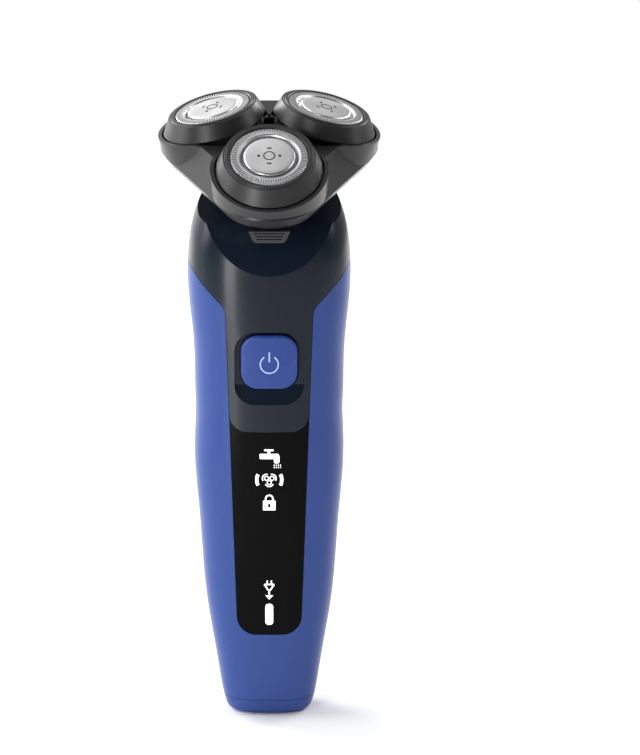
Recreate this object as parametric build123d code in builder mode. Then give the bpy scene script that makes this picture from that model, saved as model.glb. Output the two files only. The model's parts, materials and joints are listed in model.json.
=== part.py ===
from build123d import *
import os
from math import acos, copysign, cos, pi, radians, sin, tan

os.makedirs("parts", exist_ok=True)

# A cordless rotary shaver, in millimetres and degrees.
# Origin: centre of the charging inlet's mouth, on the flat base.
# +Z is up the handle, -Y is the side with the button, +X is the side seen at right from there.

# ---------------------------------------------------------------- driving dimensions

# Outer form of the handle: height, half width, depth in front, depth behind
HANDLE_SECTIONS = [
    (0.0, 10.9, 8.5, 8.6),
    (6.0, 12.75, 10.9, 11.2),
    (14.0, 14.0, 12.35, 12.6),
    (28.0, 16.3, 13.7, 14.3),
    (44.0, 17.9, 14.6, 15.9),
    (60.0, 19.1, 15.2, 17.3),
    (74.0, 19.85, 15.8, 18.3),
    (84.0, 19.5, 16.1, 18.9),
    (94.0, 19.75, 16.4, 19.4),
    (104.0, 20.15, 16.8, 19.9),
    (114.0, 21.15, 17.2, 20.1),
    (122.5, 21.45, 17.5, 19.8),
    (130.0, 20.9, 17.4, 18.6),
    (138.0, 19.0, 16.4, 15.8),
    (148.0, 15.6, 14.2, 11.0),
]
FRONT_SQUARENESS = 2.7
BACK_SQUARENESS = 2.3
OUTLINE_POINTS = 24
BASE_ROUND = 2.6
WALL = 1.8
FLOOR = 2.4
CAP_HEIGHT = 4.4
SEAM = 0.12
FIT = 0.05
GAP = 0.3

# Shoulder in front, above the crease: depth and height of its arc's three points
CREASE = (-17.5, 122.5)
SHOULDER_MIDDLE = (-14.9, 130.4)
SHOULDER_END = (-9.6, 138.6)

# Front cover, window and button, as half widths and heights in the front view
COVER_FOOT = 80.3
COVER_FOOT_ROUND = 4.6
COVER_SIDE = (11.38, 113.2)
COVER_BEND = (18.1, 120.0)
COVER_EDGE = (21.6, 124.6)
COVER_REAR_SLOPE = 0.2
WINDOW_TOP = 88.0
WINDOW_FOOT = (8.4, 24.0)
WINDOW_ROUND = 5.0
BUTTON_WIDTH = 14.9
BUTTON_HEIGHT = 14.5
BUTTON_CENTRE = 99.2
BUTTON_ROUND = 4.4
BUTTON_TRAVEL = 0.6
POCKET_WIDTH = 18.2
POCKET_HEIGHT = 19.5
POCKET_CENTRE = 97.5
POCKET_ROUND = 5.2
POCKET_BACK = 14.7
BACKING_BACK = 12.3
BUTTON_BACK = 12.6
FLANGE_FRONT = 12.1
FLANGE_BACK = 11.5

# Charging inlet
INLET_WIDTH = 9.0
INLET_DEPTH = 6.0
INLET_HEIGHT = 10.0
PIN_RADIUS = 0.75

# Battery, board and chassis
BATTERY_RADIUS = 7.0
BATTERY_LOW = 43.0
BATTERY_LENGTH = 49.0
BATTERY_DEPTH = 1.5
CHASSIS_DEPTH = (-7.6, -6.2)
BOARD_DEPTH = (-9.8, -8.6)
BOARD_LOW = 25.0
BOARD_HIGH = 106.0
LIGHT_HEIGHTS = (73.0, 67.3, 61.0, 36.5, 30.0)
SWITCH_TOP = -FLANGE_BACK + BUTTON_TRAVEL + 0.1

# Head: where it sits, how far it leans forward, and how its three cutting units fan out
HEAD_CENTRE = (0.0, -6.0, 160.4)
HEAD_LEAN = 20.0
UNIT_REACH = 17.2
UNIT_LEAN = 16.0
PIVOT_DEPTH = 7.98
UNIT_NAMES = ("front", "right", "left")
UNIT_DIRECTIONS = (-90.0, 30.0, 150.0)

# Heights on the head's axis
TOP_LAND = -3.3
WIDEST = -11.3
RIM = -14.6
CHAMBER_TOP = -14.9
CHAMBER_FLOOR = -16.4
GEAR_TOP = -16.9
GEAR_THICK = 1.6
CHAMBER_FOOT = -19.1
GEAR_COVER_FOOT = -19.9
SEAT_TOP = -21.5
SEAT_THICK = 2.2
SEAT_RADIUS = 10.6
SPIGOT_RADIUS = 6.6
SPIGOT_BORE = 5.0
SCREW_REACH = 8.8
SCREW_DIRECTIONS = (35, 145, 215, 325)

# Cutting units, as radii and heights from each unit's steel face
GUARD_RADIUS = 10.0
DISC_RADIUS = 6.6
SKIRT_TOP_RADIUS = 11.9
SKIRT_FOOT_RADIUS = 13.7
SKIRT_HEIGHT = 4.1
SKIRT_SHIFT = 0.6
COLLAR_RADIUS = 15.2
COLLAR_BORE = 14.2
TUBE_RADIUS = 9.9
CARRIER_INNER = 10.2
CARRIER_OUTER = 11.0
OPENING_RADIUS = 11.4
WEB_HALF = 3.0
POST_TOP = -2.2
PIVOT_PIN = 0.6
SLOTS = 45
BLADES = 9

# Gears
HANDLE_MODULE = 0.4
PINION_TEETH = 10
DRIVE_TEETH = 30
HEAD_MODULE = 0.6
SUN_TEETH = 34
PLANET_TEETH = 16
PRESSURE_ANGLE = 20.0
BACKLASH = 0.1
SHAFT_RADIUS = 1.5
HUB_RADIUS = 3.2
DOG_ACROSS = 3.2
DRIVE_BALL = 1.3
DRIVE_ACROSS = 2.2
MOTOR_OFFSET = HANDLE_MODULE * (PINION_TEETH + DRIVE_TEETH) / 2
PLANET_REACH = HEAD_MODULE * (SUN_TEETH + PLANET_TEETH) / 2

# Motor, as heights on its axis
MOTOR_RADIUS = 10.0
MOTOR_TOP = -33.0
MOTOR_FOOT = -59.0

# Hinge of the head's lid, in the head's own frame
HINGE_BACK = 22.3
HINGE_HEIGHT = -14.9
KNUCKLE_RADIUS = 1.5
HINGE_PIN_RADIUS = 0.7
HINGE_HALF = 9.0

# Release tab: its top, height and half width above and below
TAB_TOP = CHAMBER_TOP - 0.6
TAB_HEIGHT = 3.4
TAB_HALF = (5.35, 4.0)

# Long enough to pass right through the handle
THROUGH = 42

UP = (Align.CENTER, Align.CENTER, Align.MIN)

# ---------------------------------------------------------------- frames

lean = radians(HEAD_LEAN)
HEAD = Plane(origin=HEAD_CENTRE, x_dir=(1, 0, 0), z_dir=(0, -sin(lean), cos(lean)))


def unit_frame(direction):
    """Frame of one cutting unit: z out of its steel face, x down its outer slope."""
    turn = radians(direction)
    tilt = radians(UNIT_LEAN)
    outward = HEAD.x_dir * cos(turn) + HEAD.y_dir * sin(turn)
    normal = HEAD.z_dir * cos(tilt) + outward * sin(tilt)
    slope = outward * cos(tilt) - HEAD.z_dir * sin(tilt)
    return Plane(origin=HEAD.origin + outward * UNIT_REACH, x_dir=slope, z_dir=normal)


def moved(frame, x=0.0, y=0.0):
    """The same frame moved along its own x and y."""
    origin = frame.origin + frame.x_dir * x + frame.y_dir * y
    return Plane(origin=origin, x_dir=frame.x_dir, z_dir=frame.z_dir)


def planet_frame(direction):
    """Frame of one planet gear, parallel to the head's axis, x pointing outward."""
    turn = radians(direction)
    outward = HEAD.x_dir * cos(turn) + HEAD.y_dir * sin(turn)
    return Plane(origin=HEAD.origin + outward * PLANET_REACH, x_dir=outward, z_dir=HEAD.z_dir)


# Sketch plane of the front view, just behind the handle's middle
FRONT = Plane.XZ.offset(-1.5)
UNITS = [unit_frame(direction) for direction in UNIT_DIRECTIONS]
PLANETS = [planet_frame(direction) for direction in UNIT_DIRECTIONS]
MOTOR = moved(HEAD, y=-MOTOR_OFFSET)
PIVOT_HEIGHT = -PIVOT_DEPTH * cos(radians(UNIT_LEAN))

# ---------------------------------------------------------------- building helpers


def finish(piece, name):
    """Label a finished piece and write it."""
    piece.part.label = name
    export_step(piece.part, f"parts/{name}.step")


def rod(frame, radius, low, high, mode=Mode.ADD):
    """A round bar on the frame's axis, between two heights."""
    with Locations(frame.offset(low)):
        Cylinder(radius, high - low, align=UP, mode=mode)


def block(frame, low, high, mode=Mode.ADD):
    """A box between its lowest and highest corners in the frame."""
    size = [end - start for start, end in zip(low, high)]
    middle = [(start + end) / 2 for start, end in zip(low, high)]
    with Locations(frame.location * Location(middle)):
        Box(*size, mode=mode)


def turned(frame, outline, mode=Mode.ADD):
    """Turn a closed outline of (radius, height) points about the frame's axis."""
    meridian = Plane(origin=frame.origin, x_dir=frame.x_dir, z_dir=-frame.y_dir)
    with BuildSketch(meridian) as section:
        with BuildLine():
            Polyline(*outline, close=True)
        make_face()
    revolve(section.sketch, axis=Axis(frame.origin, frame.z_dir), mode=mode)


def cross_rod(frame, radius, start, end, mode=Mode.ADD):
    """A round bar between two points given in the frame."""
    first = frame.from_local_coords(Vector(*start))
    last = frame.from_local_coords(Vector(*end))
    path = last - first
    with Locations(Plane(origin=first, z_dir=path.normalized())):
        Cylinder(radius, path.length, align=UP, mode=mode)


def hinge_bar(radius, start, end, mode=Mode.ADD):
    """A round bar on the lid's hinge axis, between two places across the head."""
    cross_rod(HEAD, radius, (start, HINGE_BACK, HINGE_HEIGHT), (end, HINGE_BACK, HINGE_HEIGHT), mode)


def lobed(height, reach, radius):
    """Outline at one height of the head that wraps three circles, one under each unit."""
    with BuildSketch(HEAD.offset(height)) as outline:
        with PolarLocations(reach, 3, start_angle=UNIT_DIRECTIONS[0]):
            Circle(radius)
        make_hull()
    return outline.sketch


def handle_outline(half_width, front, back):
    """Points round one section of the handle, squarer in front than behind."""
    points = []
    for step in range(OUTLINE_POINTS):
        angle = 2 * pi * (step + 0.5) / OUTLINE_POINTS
        behind = sin(angle) > 0
        power = 2 / (BACK_SQUARENESS if behind else FRONT_SQUARENESS)
        depth = back if behind else front
        x = half_width * copysign(abs(cos(angle)) ** power, cos(angle))
        y = depth * copysign(abs(sin(angle)) ** power, sin(angle))
        points.append((x, y))
    return points


def loft_handle(inset):
    """The handle's form, set in by a wall thickness."""
    sections = []
    for height, half_width, front, back in HANDLE_SECTIONS:
        with BuildSketch(Plane.XY.offset(height)) as section:
            with BuildLine():
                Spline(*handle_outline(half_width - inset, front - inset, back - inset), periodic=True)
            make_face()
        sections.append(section.sketch)
    loft(sections)


def cut_shoulder(inset):
    """Take off the front above the crease, along the curved shoulder."""
    shift = inset * 1.05
    with BuildSketch(Plane.YZ) as profile:
        with BuildLine():
            start = (CREASE[0] + shift, CREASE[1])
            middle = (SHOULDER_MIDDLE[0] + shift, SHOULDER_MIDDLE[1])
            end = (SHOULDER_END[0] + shift, SHOULDER_END[1])
            lead = (start[0] - 0.9, start[1] - 4.0)
            Line(lead, start)
            ThreePointArc(start, middle, end)
            Polyline(end, (end[0] + 9, end[1] + 10), (-40, end[1] + 10), (-40, lead[1]), lead)
        make_face()
    extrude(profile.sketch, amount=THROUGH, both=True, mode=Mode.SUBTRACT)


def involute_points(module, teeth, phase):
    """Corner points of a spur gear with thinned, slightly stubbed teeth."""
    pitch = module * teeth / 2
    base = pitch * cos(radians(PRESSURE_ANGLE))
    tip = pitch + 0.85 * module
    root = pitch - 1.15 * module
    half_tooth = pi / (2 * teeth) - BACKLASH / (2 * pitch)
    lean_at_pitch = tan(radians(PRESSURE_ANGLE)) - radians(PRESSURE_ANGLE)
    flank = []
    start = max(base, root)
    for step in range(4):
        radius = start + (tip - start) * step / 3
        roll = acos(min(1.0, base / radius))
        flank.append((radius, half_tooth + lean_at_pitch - (tan(roll) - roll)))
    points = []
    for tooth in range(teeth):
        middle = radians(phase) + 2 * pi * tooth / teeth
        for radius, half in [(root, flank[0][1])] * (root < base) + flank:
            points.append((radius * cos(middle - half), radius * sin(middle - half)))
        for radius, half in reversed([(root, flank[0][1])] * (root < base) + flank):
            points.append((radius * cos(middle + half), radius * sin(middle + half)))
    return points


def gear(frame, module, teeth, phase, low, high):
    """A spur gear on the frame's axis."""
    with BuildSketch(frame.offset(low)) as outline:
        with BuildLine():
            Polyline(*involute_points(module, teeth, phase), close=True)
        make_face()
    extrude(outline.sketch, amount=high - low)


def hexagon(frame, across, low, high, mode=Mode.ADD):
    """A hexagonal bar on the frame's axis."""
    with BuildSketch(frame.offset(low)) as outline:
        RegularPolygon(across / 2, 6, major_radius=False)
    extrude(outline.sketch, amount=high - low, mode=mode)


# ---------------------------------------------------------------- handle: shared forms

with BuildPart() as handle_form:
    loft_handle(0)
    fillet(handle_form.edges().sort_by(Axis.Z)[0], BASE_ROUND)
    cut_shoulder(0)
    split(bisect_by=HEAD.offset(SEAT_TOP), keep=Keep.BOTTOM)

with BuildPart() as handle_cavity:
    loft_handle(WALL)
    cut_shoulder(WALL)
    split(bisect_by=Plane.XY.offset(FLOOR), keep=Keep.TOP)

# Room inside, a little clear of the walls, that trims every inner plate
with BuildPart() as handle_room:
    loft_handle(WALL + GAP)
    cut_shoulder(WALL + GAP)
    split(bisect_by=Plane.XY.offset(FLOOR + GAP), keep=Keep.TOP)


def cover_outline(growth):
    """Front view of the cover: a tongue that widens into the whole shoulder."""
    side_foot = WINDOW_FOOT[0] + (COVER_SIDE[0] - WINDOW_FOOT[0]) * (
        (COVER_FOOT - WINDOW_FOOT[1]) / (COVER_SIDE[1] - WINDOW_FOOT[1])
    )
    half = [(side_foot, COVER_FOOT), COVER_SIDE, COVER_BEND, COVER_EDGE, (30, 136), (30, 160)]
    with BuildSketch(FRONT) as outline:
        with BuildLine():
            Polyline(*half, *[(-x, z) for x, z in reversed(half)], close=True)
        make_face()
        corners = outline.vertices()
        fillet(corners.filter_by(lambda v: abs(v.Y - COVER_FOOT) < 0.01), COVER_FOOT_ROUND)
        fillet(outline.vertices().filter_by(lambda v: abs(v.Y - COVER_SIDE[1]) < 0.01), 5.0)
        if growth:
            offset(amount=growth)
    return outline.sketch


def window_outline(growth):
    """Front view of the window: a tapered strip with a rounded foot."""
    slope = (COVER_SIDE[0] - WINDOW_FOOT[0]) / (COVER_SIDE[1] - WINDOW_FOOT[1])
    top_half = WINDOW_FOOT[0] + slope * (WINDOW_TOP - WINDOW_FOOT[1])
    with BuildSketch(FRONT) as outline:
        with BuildLine():
            Polyline(
                (-WINDOW_FOOT[0], WINDOW_FOOT[1]),
                WINDOW_FOOT,
                (top_half, WINDOW_TOP),
                (-top_half, WINDOW_TOP),
                close=True,
            )
        make_face()
        fillet(outline.vertices().filter_by(lambda v: abs(v.Y - WINDOW_FOOT[1]) < 0.01), WINDOW_ROUND)
        if growth:
            offset(amount=growth)
    return outline.sketch


def cover_zone(growth):
    """Everything that belongs to the front cover: the tongue and the whole shoulder."""
    foot = COVER_EDGE[1] - growth
    with BuildPart() as zone:
        extrude(cover_outline(growth), amount=THROUGH)
        with BuildSketch(Plane.YZ) as wedge:
            with BuildLine():
                low = (-3, foot - 3 * COVER_REAR_SLOPE)
                high = (40, foot + 40 * COVER_REAR_SLOPE)
                Polyline(low, high, (40, 180), (-3, 180), close=True)
            make_face()
        extrude(wedge.sketch, amount=THROUGH, both=True)
    return zone.part


with BuildPart() as window_zone:
    extrude(window_outline(0), amount=THROUGH)
    extrude(cover_outline(SEAM), amount=THROUGH, mode=Mode.SUBTRACT)

# ---------------------------------------------------------------- handle: shells

with BuildPart() as handle_shell:
    add(handle_form.part)
    add(handle_cavity.part, mode=Mode.SUBTRACT)

inlet_low = (-INLET_WIDTH / 2, -INLET_DEPTH / 2, -1)
inlet_high = (INLET_WIDTH / 2, INLET_DEPTH / 2, INLET_HEIGHT)

with BuildPart() as bottom_cap:
    add(handle_form.part)
    split(bisect_by=Plane.XY.offset(CAP_HEIGHT), keep=Keep.BOTTOM)
    add(handle_cavity.part, mode=Mode.SUBTRACT)
    block(Plane.XY, inlet_low, inlet_high, Mode.SUBTRACT)
finish(bottom_cap, "bottom_cap")

with BuildPart() as rear_housing:
    add(handle_shell.part)
    split(bisect_by=Plane.XY.offset(CAP_HEIGHT + SEAM), keep=Keep.TOP)
    extrude(window_outline(SEAM), amount=THROUGH, mode=Mode.SUBTRACT)
    add(cover_zone(SEAM), mode=Mode.SUBTRACT)
finish(rear_housing, "rear_housing")

with BuildPart() as display_window:
    add(handle_shell.part)
    add(window_zone.part, mode=Mode.INTERSECT)
finish(display_window, "display_window")


def button_outline(growth):
    """Front view of the button, a square with generous corners."""
    with BuildSketch(FRONT) as outline:
        with Locations((0, BUTTON_CENTRE)):
            RectangleRounded(
                BUTTON_WIDTH + 2 * growth,
                BUTTON_HEIGHT + 2 * growth,
                BUTTON_ROUND + growth,
            )
    return outline.sketch


with BuildPart() as pocket_zone:
    with BuildSketch(FRONT) as pocket_outline:
        with Locations((0, POCKET_CENTRE)):
            RectangleRounded(POCKET_WIDTH, POCKET_HEIGHT, POCKET_ROUND)
    extrude(pocket_outline.sketch, amount=30)
    with BuildSketch(Plane.YZ) as pocket_floor:
        with BuildLine():
            low = POCKET_CENTRE - POCKET_HEIGHT / 2
            high = POCKET_CENTRE + POCKET_HEIGHT / 2
            Polyline(
                (0, low - 1),
                (-16.0, low - 1),
                (-POCKET_BACK, BUTTON_CENTRE - BUTTON_HEIGHT / 2 + 1),
                (-POCKET_BACK - 0.3, high + 1),
                (0, high + 1),
                close=True,
            )
        make_face()
    extrude(pocket_floor.sketch, amount=20, both=True, mode=Mode.SUBTRACT)

with BuildPart() as cover_roof:
    add(handle_cavity.part)
    split(bisect_by=HEAD.offset(SEAT_TOP), keep=Keep.BOTTOM)
    split(bisect_by=HEAD.offset(SEAT_TOP - SEAT_THICK), keep=Keep.TOP)

with BuildPart() as front_cover:
    add(handle_shell.part)
    add(cover_zone(0), mode=Mode.INTERSECT)
    # Backing behind the pocket keeps the wall whole where the pocket is deepest
    with BuildSketch(Plane.XZ.offset(BACKING_BACK)) as backing:
        with Locations((0, POCKET_CENTRE)):
            RectangleRounded(POCKET_WIDTH + 1.6, POCKET_HEIGHT + 1.6, POCKET_ROUND)
    extrude(backing.sketch, amount=3.0)
    add(pocket_zone.part, mode=Mode.SUBTRACT)
    extrude(button_outline(GAP), amount=THROUGH, mode=Mode.SUBTRACT)
    # Roof of the cover, with the round hole that takes the coupling seat
    add(cover_roof.part)
    rod(HEAD, SEAT_RADIUS, -40, 0, Mode.SUBTRACT)
finish(front_cover, "front_cover")

with BuildPart() as power_button:
    add(handle_form.part)
    extrude(button_outline(0), amount=THROUGH, mode=Mode.INTERSECT)
    block(Plane.XY, (-20, -BUTTON_BACK, 0), (20, 40, 200), Mode.SUBTRACT)
    fillet(power_button.faces().sort_by(Axis.Y)[0].outer_wire().edges(), 0.8)
    # Stem through the cover, and a flange behind it that keeps the button in
    for growth, back in ((-1.5, FLANGE_FRONT), (0.8, FLANGE_BACK)):
        with BuildSketch(Plane.XZ.offset(back)) as step:
            with Locations((0, BUTTON_CENTRE)):
                RectangleRounded(BUTTON_WIDTH + 2 * growth, BUTTON_HEIGHT + 2 * growth, 3)
        extrude(step.sketch, amount=(BUTTON_BACK if back == FLANGE_FRONT else FLANGE_FRONT) - back)
finish(power_button, "power_button")

# ---------------------------------------------------------------- handle: inside

with BuildPart() as charging_socket:
    block(Plane.XY, (-6.2, -4.4, FLOOR), (6.2, 4.4, INLET_HEIGHT + 1.6))
    block(Plane.XY, inlet_low, inlet_high, Mode.SUBTRACT)
    for x in (-2.2, 2.2):
        rod(moved(Plane.XY, x), PIN_RADIUS, INLET_HEIGHT - 1, INLET_HEIGHT + 3, Mode.SUBTRACT)
finish(charging_socket, "charging_socket")

with BuildPart() as charging_pins:
    for x in (-2.2, 2.2):
        rod(moved(Plane.XY, x), PIN_RADIUS, INLET_HEIGHT - 4, INLET_HEIGHT + 3)
finish(charging_pins, "charging_pins")

with BuildPart() as battery_cell:
    battery = moved(Plane.XY, y=BATTERY_DEPTH)
    rod(battery, BATTERY_RADIUS, BATTERY_LOW, BATTERY_LOW + BATTERY_LENGTH)
    fillet(battery_cell.edges().filter_by(GeomType.CIRCLE), 0.6)
    rod(battery, 2.2, BATTERY_LOW + BATTERY_LENGTH, BATTERY_LOW + BATTERY_LENGTH + 1)
finish(battery_cell, "battery_cell")

with BuildPart() as battery_contacts:
    for low in (BATTERY_LOW - 0.4, BATTERY_LOW + BATTERY_LENGTH + 1):
        block(battery, (-3, CHASSIS_DEPTH[1] - BATTERY_DEPTH, low), (3, 4, low + 0.4))
finish(battery_contacts, "battery_contacts")

board_posts = [(-7.0, 38.0), (7.0, 38.0), (-7.0, 86.5), (7.0, 86.5)]

with BuildPart() as chassis:
    block(Plane.XY, (-10.5, CHASSIS_DEPTH[0], 14), (10.5, CHASSIS_DEPTH[1], 112))
    for low in (BATTERY_LOW + 4, BATTERY_LOW + BATTERY_LENGTH - 7):
        block(Plane.XY, (-9.5, CHASSIS_DEPTH[1], low), (9.5, BATTERY_DEPTH + 3, low + 3))
    rod(battery, BATTERY_RADIUS + FIT, BATTERY_LOW - 3, BATTERY_LOW + BATTERY_LENGTH + 3, Mode.SUBTRACT)
    # Ring that holds the motor, and short posts that carry the board
    rod(MOTOR, MOTOR_RADIUS + 1.3, MOTOR_FOOT + 8, MOTOR_FOOT + 13)
    rod(MOTOR, MOTOR_RADIUS + FIT, MOTOR_FOOT - 20, MOTOR_TOP + 20, Mode.SUBTRACT)
    for x, z in board_posts:
        cross_rod(Plane.XY, 1.8, (x, CHASSIS_DEPTH[0], z), (x, BOARD_DEPTH[1], z))
        cross_rod(Plane.XY, 0.6, (x, CHASSIS_DEPTH[1], z), (x, BOARD_DEPTH[1], z), Mode.SUBTRACT)
    add(handle_room.part, mode=Mode.INTERSECT)
finish(chassis, "chassis")

with BuildPart() as circuit_board:
    with BuildSketch(Plane.XZ.offset(-BOARD_DEPTH[1])) as board_outline:
        with BuildLine():
            Polyline(
                (-7.9, BOARD_LOW), (7.9, BOARD_LOW), (9.6, BOARD_HIGH), (-9.6, BOARD_HIGH), close=True
            )
        make_face()
        fillet(board_outline.vertices(), 1.5)
        with Locations(*board_posts):
            Circle(0.7, mode=Mode.SUBTRACT)
    extrude(amount=BOARD_DEPTH[1] - BOARD_DEPTH[0])
    # Parts on the back of the board, and the charging controller
    block(Plane.XY, (-3.5, BOARD_DEPTH[1], 54), (3.5, BOARD_DEPTH[1] + 0.9, 61))
    block(Plane.XY, (-2.5, BOARD_DEPTH[1], 68), (2.5, BOARD_DEPTH[1] + 0.9, 73))
finish(circuit_board, "circuit_board")

with BuildPart() as board_screws:
    for x, z in board_posts:
        cross_rod(Plane.XY, 0.55, (x, CHASSIS_DEPTH[1], z), (x, BOARD_DEPTH[0], z))
        cross_rod(Plane.XY, 1.2, (x, BOARD_DEPTH[0], z), (x, BOARD_DEPTH[0] - 0.7, z))
finish(board_screws, "board_screws")

with BuildPart() as button_switch:
    block(Plane.XY, (-2.6, SWITCH_TOP + 0.4, 96.6), (2.6, BOARD_DEPTH[0], 101.8))
    cross_rod(Plane.XY, 1.1, (0, BOARD_DEPTH[0], 99.2), (0, SWITCH_TOP, 99.2))
finish(button_switch, "button_switch")

with BuildPart() as indicator_leds:
    for z in LIGHT_HEIGHTS:
        block(Plane.XY, (-1.0, BOARD_DEPTH[0] - 0.6, z - 0.6), (1.0, BOARD_DEPTH[0], z + 0.6))
finish(indicator_leds, "indicator_leds")

with BuildPart() as light_guide:
    block(Plane.XY, (-4.5, -11.6, 26.5), (4.5, BOARD_DEPTH[0], 76.5))
    for z in LIGHT_HEIGHTS:
        block(Plane.XY, (-2.6, -14, z - 2.4), (2.6, 0, z + 2.4), Mode.SUBTRACT)
    for x, z in board_posts:
        cross_rod(Plane.XY, 1.5, (x, BOARD_DEPTH[0] + 1, z), (x, -14, z), Mode.SUBTRACT)
finish(light_guide, "light_guide")

with BuildPart() as motor_case:
    turned(MOTOR, [
        (0, MOTOR_FOOT), (MOTOR_RADIUS, MOTOR_FOOT), (MOTOR_RADIUS, MOTOR_TOP), (3.0, MOTOR_TOP),
        (3.0, MOTOR_TOP + 1.2), (1.05, MOTOR_TOP + 1.2), (1.05, MOTOR_TOP - 0.8), (9.2, MOTOR_TOP - 0.8),
        (9.2, MOTOR_FOOT + 3), (1.05, MOTOR_FOOT + 3), (1.05, MOTOR_FOOT + 1.5), (0, MOTOR_FOOT + 1.5),
    ])
finish(motor_case, "motor_case")

with BuildPart() as motor_magnets:
    rod(MOTOR, 9.2, MOTOR_FOOT + 5, MOTOR_TOP - 4)
    rod(MOTOR, 7.7, MOTOR_FOOT + 4, MOTOR_TOP - 3, Mode.SUBTRACT)
    block(MOTOR, (-2, -12, MOTOR_FOOT), (2, 12, MOTOR_TOP), Mode.SUBTRACT)
finish(motor_magnets, "motor_magnets")

with BuildPart() as motor_rotor:
    rod(MOTOR, 1.0, MOTOR_FOOT + 1.6, -27.6)
    rod(MOTOR, 7.2, MOTOR_FOOT + 6, MOTOR_TOP - 5)
    for turn in (0, 120, 240):
        slot = Plane(MOTOR.location * Rotation(0, 0, turn))
        block(slot, (4.2, -0.8, MOTOR_FOOT), (9, 0.8, MOTOR_TOP - 1), Mode.SUBTRACT)
finish(motor_rotor, "motor_rotor")

pinion_phase = -90.0 + 180 - 90.0 * DRIVE_TEETH / PINION_TEETH + 180 / PINION_TEETH
with BuildPart() as motor_pinion:
    gear(MOTOR, HANDLE_MODULE, PINION_TEETH, pinion_phase, -30.6, -27.4)
    rod(MOTOR, 1.0, -31, -27, Mode.SUBTRACT)
finish(motor_pinion, "motor_pinion")

screw_frames = []
for direction in SCREW_DIRECTIONS:
    turn = radians(direction)
    screw_frames.append(moved(HEAD, SCREW_REACH * cos(turn), SCREW_REACH * sin(turn)))

with BuildPart() as gear_frame:
    rod(HEAD, 40, -31.5, -30.8)
    add(handle_room.part, mode=Mode.INTERSECT)
    for frame in screw_frames:
        rod(frame, 2.0, -30.8, SEAT_TOP - SEAT_THICK)
        rod(frame, 0.8, -30.0, SEAT_TOP, Mode.SUBTRACT)
    rod(MOTOR, 3.1, -40, -20, Mode.SUBTRACT)
    rod(HEAD, 2.6, -32.8, -30.8)
    rod(HEAD, SHAFT_RADIUS + FIT, -32.0, -30, Mode.SUBTRACT)
finish(gear_frame, "gear_frame")

with BuildPart() as drive_gear:
    gear(HEAD, HANDLE_MODULE, DRIVE_TEETH, 0, -30.3, -27.7)
    rod(HEAD, SHAFT_RADIUS, -31.9, SEAT_TOP + 1.0)
    rod(HEAD, 2.4, -27.7, -26.5)
    hexagon(HEAD, DOG_ACROSS, SEAT_TOP + 1.0, -17.6)
finish(drive_gear, "drive_gear")

with BuildPart() as coupling_seat:
    rod(HEAD, SEAT_RADIUS, SEAT_TOP - SEAT_THICK, SEAT_TOP)
    rod(HEAD, SPIGOT_RADIUS, SEAT_TOP, GEAR_COVER_FOOT - GAP)
    rod(HEAD, SPIGOT_BORE, SEAT_TOP - 0.2, GEAR_COVER_FOOT, Mode.SUBTRACT)
    rod(HEAD, 2.6, SEAT_TOP - SEAT_THICK - 1, SEAT_TOP, Mode.SUBTRACT)
    for frame in screw_frames:
        rod(frame, 0.85, SEAT_TOP - SEAT_THICK - 1, SEAT_TOP + 1, Mode.SUBTRACT)
        rod(frame, 1.7, SEAT_TOP - 0.9, SEAT_TOP + 2, Mode.SUBTRACT)
finish(coupling_seat, "coupling_seat")

with BuildPart() as seat_screws:
    for frame in screw_frames:
        rod(frame, 0.8, -30.0, SEAT_TOP - 0.9)
        rod(frame, 1.6, SEAT_TOP - 0.9, SEAT_TOP - 0.1)
        hexagon(frame, 1.4, SEAT_TOP - 0.5, SEAT_TOP, Mode.SUBTRACT)
finish(seat_screws, "seat_screws")

with BuildPart() as shaft_seal:
    rod(HEAD, 2.6, SEAT_TOP - SEAT_THICK, SEAT_TOP - 0.2)
    rod(HEAD, SHAFT_RADIUS + FIT, SEAT_TOP - SEAT_THICK - 1, SEAT_TOP, Mode.SUBTRACT)
finish(shaft_seal, "shaft_seal")

# ---------------------------------------------------------------- shaving unit: drive

with BuildPart() as hair_chamber:
    loft([lobed(CHAMBER_TOP, 16.6, 11.7), lobed(CHAMBER_FOOT, PLANET_REACH, 6.7)])
    # Hair space above the floor, gear space below it
    loft([lobed(CHAMBER_TOP, 16.6, 10.6), lobed(CHAMBER_FLOOR + 0.8, 16.3, 9.9)], mode=Mode.SUBTRACT)
    for frame in PLANETS:
        rod(frame, 5.7, CHAMBER_FOOT, CHAMBER_FLOOR, Mode.SUBTRACT)
    rod(HEAD, 11.1, CHAMBER_FOOT, CHAMBER_FLOOR, Mode.SUBTRACT)
    for frame in PLANETS:
        rod(frame, 1.6, CHAMBER_FLOOR + 0.8, CHAMBER_FLOOR + 2.0)
        rod(frame, 0.8 + FIT, CHAMBER_FOOT, CHAMBER_TOP + 3, Mode.SUBTRACT)
    rod(HEAD, 2.0, CHAMBER_FLOOR + 0.8, CHAMBER_FLOOR + 1.6)
    rod(HEAD, 1.0 + FIT, CHAMBER_FLOOR - 1, CHAMBER_FLOOR + 0.9, Mode.SUBTRACT)
    # Middle knuckle of the hinge, at the back
    block(HEAD, (-4, 18.6, CHAMBER_FLOOR), (4, HINGE_BACK, HINGE_HEIGHT))
    hinge_bar(KNUCKLE_RADIUS, -4, 4)
    hinge_bar(HINGE_PIN_RADIUS, -HINGE_HALF, HINGE_HALF, Mode.SUBTRACT)
    # Recess and slot for the release tab, at the front
    block(HEAD, (-5.7, -40, CHAMBER_FOOT - 1), (5.7, -25.9, CHAMBER_TOP - 0.3), Mode.SUBTRACT)
    block(HEAD, (-3.5, -27, CHAMBER_FLOOR + 0.1), (3.5, -23.6, CHAMBER_FLOOR + 1.0), Mode.SUBTRACT)
finish(hair_chamber, "hair_chamber")

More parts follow.
